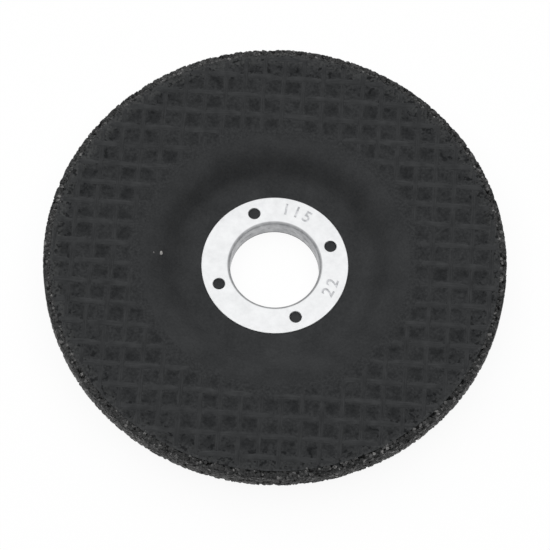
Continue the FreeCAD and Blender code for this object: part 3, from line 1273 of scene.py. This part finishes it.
            # Turned a quarter, the tree's X runs along the disc's Y, and its Y against the disc's X
            apart.reverse()
            middles = [-self.warp_off_centre, self.weft_off_centre]
        (spacing, crossed), (row_middle, cross_middle) = apart, middles
        reach = 2 * math.ceil(self.outer_r / min(apart) / 2) + 2
        name = f"{self.side}_{run.name.lower()}"
        sizes = {
            "Spacing": spacing * MM,
            "Rows": 2 * reach + 1,
            "Row Start": (row_middle - reach * spacing) * MM,
            "Cross Spacing": crossed * MM,
            "Cross Start": (cross_middle - reach * crossed) * MM,
            "Steps": round(2 * reach * crossed / self.thread_step) + 1,
            "Step": self.thread_step * MM,
            "Strands": 2 if paired else 1,
            "Strand Gap": self.strand_gap * MM,
            "Strand Width": (self.thread_width * self.strand_share if paired else self.thread_width) * MM,
            "Thread Height": self.thread_height * MM,
            "Wave": (-self.wave if paired else self.wave) * MM,
            "Level": (self.level - self.outward * (self.thread_height / 2 + self.wave)) * MM,
            "Turn": run.value + math.radians(self.turn),
            "Material": self.threads[run],
            **self.face_sizes(),
        }
        return grow(name, bpy.data.meshes.new(name), self.thread_tree(sizes), sizes)

    def build(self) -> list[Piece]:
        """Builds the face's pieces and puts them on the disc."""
        made = [self.resin_bed(), self.thread_set(Run.WEFT), self.thread_set(Run.WARP)]
        return [place(piece, self.node) for piece in made]


@dataclass
class BoreRing:
    """The pressed metal ring: flange, rolled lip and collar, with anchor holes and stamped numbers."""

    metal: Material
    stamp: Material
    lip_bend: float = 1.1
    burr: float = 0.12
    edge_wear: float = 1.6  # burrs
    hole_r: float = 1.5
    hole_circle_r: float = 14.815
    hole_start: float = 23.0
    hole_count: int = 4
    hole_lead: float = 0.12
    hole_bend: float = 0.1
    punch_core: float = 0.001  # keeps the punch's section off its axis
    overrun: float = 1.0
    numbers: tuple[tuple[str, float, bool], ...] = (  # digits, their middle's angle, tops outward
        ("115", 71.5, True),
        ("22", -21.0, False),
    )
    digit_height: float = 3.1
    em_per_digit: float = 1.35
    digit_step: float = 10.5  # degrees from one digit to the next
    stamp_depth: float = 0.09
    stamp_reach: float = 0.5  # from a stamp's middle to its face
    stroke_gain: float = 0.07
    digit_circle_r: float = 15.2
    sharp_from: float = math.radians(30)

    def corners(self) -> list[Corner]:
        """The ring's section. Its sheared outer edge is rounded, as a press leaves it."""
        return [
            Corner(BORE_R, COLLAR_LOW_Z, self.burr),
            Corner(COLLAR_R, COLLAR_LOW_Z, self.burr),
            Corner(COLLAR_R, FLANGE_UNDERSIDE_Z, LIP_INSIDE_BEND),
            Corner(FLANGE_R, FLANGE_UNDERSIDE_Z, self.burr),
            Corner(FLANGE_R, FLANGE_TOP_Z, self.burr * self.edge_wear),
            Corner(BORE_R, FLANGE_TOP_Z, self.lip_bend),
        ]

    def hole_cutter(self) -> Piece:
        """Makes the punches for the anchor holes.

        Returns:
            One object of four punches, each with a shoulder that breaks the hole's upper edge.
        """
        lead = self.hole_lead
        punch = TurnedShell([
            Corner(self.punch_core, FLANGE_UNDERSIDE_Z - self.overrun),
            Corner(self.hole_r, FLANGE_UNDERSIDE_Z - self.overrun),
            Corner(self.hole_r, FLANGE_TOP_Z - lead, self.hole_bend),
            Corner(self.hole_r + lead, FLANGE_TOP_Z),
            Corner(self.hole_r + lead, FLANGE_TOP_Z + self.overrun),
            Corner(self.punch_core, FLANGE_TOP_Z + self.overrun),
        ], segments=40, bend_steps=4).mesh("punch")
        cutter = bmesh.new()
        for i in range(self.hole_count):
            angle = math.radians(self.hole_start + i * 360 / self.hole_count)
            copy = punch.copy()
            copy.transform(Matrix.Translation(
                Vector((math.cos(angle), math.sin(angle), 0)) * self.hole_circle_r * MM))
            cutter.from_mesh(copy)
            bpy.data.meshes.remove(copy)
        mesh = as_mesh("punches", cutter)
        mesh.materials.append(self.metal)
        return on_stage("punches", mesh)

    def digit_stamps(self, digits: str, middle: float, tops_outward: bool) -> Piece:
        """Makes stamps for a plain number that follows the flange round.

        Args:
            digits: The number.
            middle: The angle of its middle, in degrees from +X.
            tops_outward: Whether the digits' tops face away from the bore.

        Returns:
            One object that reaches from under the stamped floor to above the flange.
        """
        stamps = bmesh.new()
        for i, digit in enumerate(digits):
            text = bpy.data.curves.new("digit", "FONT")
            text.body = digit
            text.size = self.digit_height * self.em_per_digit * MM
            text.align_x = "CENTER"
            text.align_y = "CENTER"
            text.extrude = self.stamp_reach * MM
            text.offset = self.stroke_gain * MM
            text.resolution_u = 6
            carrier = on_stage("digit", text)
            shape = evaluated(carrier)
            bpy.data.objects.remove(carrier)
            away = (i - (len(digits) - 1) / 2) * self.digit_step
            angle = math.radians(middle - away if tops_outward else middle + away)
            facing = angle - math.pi / 2 if tops_outward else angle + math.pi / 2
            spot = Vector((
                self.digit_circle_r * math.cos(angle),
                self.digit_circle_r * math.sin(angle),
                FLANGE_TOP_Z - self.stamp_depth + self.stamp_reach,
            ))
            shape.transform(Matrix.Translation(spot * MM) @ Matrix.Rotation(facing, 4, "Z"))
            stamps.from_mesh(shape)
            bpy.data.meshes.remove(shape)
        bmesh.ops.remove_doubles(stamps, verts=stamps.verts, dist=0.001 * MM)
        bmesh.ops.recalc_face_normals(stamps, faces=stamps.faces)
        mesh = as_mesh("stamps", stamps)
        mesh.materials.clear()
        mesh.materials.append(self.stamp)
        return on_stage("stamps", mesh)

    def build(self) -> list[Piece]:
        """Builds the ring, punches its holes, stamps its numbers and puts it on the disc."""
        mesh = TurnedShell(self.corners(), segments=256, bend_steps=10).mesh("ring")
        mesh.materials.append(self.metal)
        ring = on_stage("pressed_ring", mesh)
        cutters = [self.hole_cutter(), *(self.digit_stamps(*number) for number in self.numbers)]
        for cutter in cutters:
            cut = ring.modifiers.new("cut", "BOOLEAN")
            cut.operation = "DIFFERENCE"
            cut.solver = "EXACT"
            cut.material_mode = "TRANSFER"
            cut.object = cutter
        settle(ring)
        for cutter in cutters:
            bpy.data.objects.remove(cutter)
        ring.data.shade_smooth()
        ring.data.set_sharp_from_angle(angle=self.sharp_from)
        return [place(ring, "bore_ring")]


@dataclass
class Studio:
    """The photograph's viewpoint, a white floor, a broad lamp above and one below, and a pale surround."""

    distance: float = 850.0
    elevation: float = 67.5  # degrees above the floor
    aim: tuple[float, float, float] = (0.17, -2.96, 6.0)
    roll: float = 2.9  # degrees
    lens: float = 223.95
    sensor: float = 36.0
    clip: tuple[float, float] = (0.01, 20.0)  # metres
    lamp_size: float = 4.4  # metres
    lamp_distance: float = 2.0  # metres
    lamp_power: float = 94.0
    lamp_from: tuple[float, float, float] = (-0.1, 0.336, 1.0)
    lower_power: float = 115.0
    lower_from: tuple[float, float, float] = (0.0, 0.0, -1.0)
    ambient: float = 0.08
    floor_size: float = 3.0  # metres
    floor_gap: float = 0.02
    floor_shadow: float = 0.08  # how much of the floor's real shade the camera sees

    def camera(self) -> None:
        """Adds the camera."""
        data = bpy.data.cameras.new("camera")
        data.lens = self.lens
        data.sensor_width = self.sensor
        data.clip_start, data.clip_end = self.clip
        camera = on_stage("camera", data)
        tilt = math.radians(self.elevation)
        back = Vector((0, -math.cos(tilt), math.sin(tilt)))
        camera.location = (Vector(self.aim) + back * self.distance) * MM
        camera.rotation_mode = "QUATERNION"
        camera.rotation_quaternion = (-back).to_track_quat("-Z", "Y") @ Quaternion(
            (0, 0, 1), math.radians(self.roll))
        bpy.context.scene.camera = camera

    def lamp(self, name: str, power: float, source: tuple[float, float, float]) -> None:
        """Adds a broad lamp that faces the disc.

        Args:
            name: The lamp's name.
            power: Its power in watts.
            source: The direction that it shines from.
        """
        data = bpy.data.lights.new(name, "AREA")
        data.shape = "SQUARE"
        data.size = self.lamp_size
        data.energy = power
        lamp = on_stage(name, data)
        towards = Vector(source).normalized()
        lamp.location = towards * self.lamp_distance
        lamp.rotation_mode = "QUATERNION"
        lamp.rotation_quaternion = towards.to_track_quat("Z", "Y")
        lamp.visible_glossy = False  # metal mirrors the white surround alone, which doesn't clip

    def direct_look(self, tree: Tree) -> Node:
        """Adds the test for rays that see the background itself.

        Args:
            tree: The tree that takes the nodes.

        Returns:
            The node that gives 1 for camera, glossy and transmission rays, and 0 for the rest.
        """
        path = add_node(tree, "ShaderNodeLightPath")
        seen = add_node(tree, MATH, MOST, (path.outputs["Is Camera Ray"], path.outputs["Is Glossy Ray"]))
        return add_node(tree, MATH, MOST, (seen, path.outputs["Is Transmission Ray"]))

    def surround(self) -> None:
        """Sets the world: white where it is seen, and a low even light elsewhere."""
        world = bpy.data.worlds.new("surround")
        bpy.context.scene.world = world
        world.use_nodes = True
        tree = world.node_tree
        tree.nodes.clear()
        add = partial(add_node, tree)
        even = add("ShaderNodeBackground", links={"Color": linear(WHITE), "Strength": self.ambient})
        white = add("ShaderNodeBackground", links={"Color": linear(WHITE), "Strength": 1.0})
        mixed = add("ShaderNodeMixShader", links=(self.direct_look(tree), even, white))
        add("ShaderNodeOutputWorld", links={"Surface": mixed})

    def floor(self) -> None:
        """Adds the floor, which looks white and keeps a faint share of the disc's shadow."""
        sheet = bmesh.new()
        bmesh.ops.create_grid(sheet, x_segments=8, y_segments=8, size=self.floor_size / 2)
        sheet.transform(Matrix.Translation((0, 0, -self.floor_gap * MM)))
        mesh = as_mesh("floor", sheet)
        material = bpy.data.materials.new("white_paper_floor")
        material.use_nodes = True
        tree = material.node_tree
        tree.nodes.clear()
        add = partial(add_node, tree)
        paper = add("ShaderNodeBsdfDiffuse", links={"Color": linear(WHITE)})
        white = add("ShaderNodeEmission", links={"Color": linear(WHITE), "Strength": 1.0})
        share = add(MATH, MULTIPLY, (self.direct_look(tree), 1 - self.floor_shadow))
        mixed = add("ShaderNodeMixShader", links=(share, paper, white))
        # From below, the floor lets the disc's back be seen, and lets the lower lamp's light through
        under = add("ShaderNodeNewGeometry").outputs["Backfacing"]
        lit = add("ShaderNodeLightPath").outputs["Is Shadow Ray"]
        through = add(MATH, MOST, (under, lit))
        clear = add("ShaderNodeBsdfTransparent")
        sided = add("ShaderNodeMixShader", links=(through, mixed, clear))
        add("ShaderNodeOutputMaterial", links={"Surface": sided})
        mesh.materials.append(material)
        floor = on_stage("floor", mesh)

    def build(self) -> None:
        """Builds the whole studio and sets the plain view of colours."""
        self.camera()
        self.lamp("soft_lamp", self.lamp_power, self.lamp_from)
        self.lamp("lower_lamp", self.lower_power, self.lower_from)
        self.surround()
        self.floor()
        bpy.context.scene.view_settings.view_transform = "Standard"


def report(pieces: Sequence[Piece]) -> None:
    """Logs each piece with its count of triangles.

    Args:
        pieces: The pieces to report.
    """
    for piece in pieces:
        piece.data.calc_loop_triangles()
        LOG.info("%s: %d triangles", piece.name, len(piece.data.loop_triangles))


def main() -> None:
    """Builds and dresses the disc, then the studio."""
    logging.basicConfig(level=logging.INFO, format="%(name)s %(message)s")
    skin = MouldedPhenolic().build()
    report(AbrasiveWheel(skin, BrokenRim().build(), FusedAlumina().build()).build())
    resin = GritFilledResin().build()
    threads = {
        # The weft's paler colours are painted light
        Run.WEFT: CoatedGlassThread(Run.WEFT, "#2E2F30", "#3D3E3F").build(),
        Run.WARP: CoatedGlassThread(Run.WARP, "#2C2D2E", "#3A3B3C").build(),
    }
    report(WovenFace("front", "front_mesh", FACE_Z, 1, FRONT_MESH_INNER_R, resin, threads).build())
    report(WovenFace("back", "back_mesh", BACK_Z, -1, BACK_MESH_INNER_R, resin, threads).build())
    report(BoreRing(ZincPlatedSheet().build(), StampedZinc().build()).build())
    Studio().build()


if __name__ == "__main__":
    main()
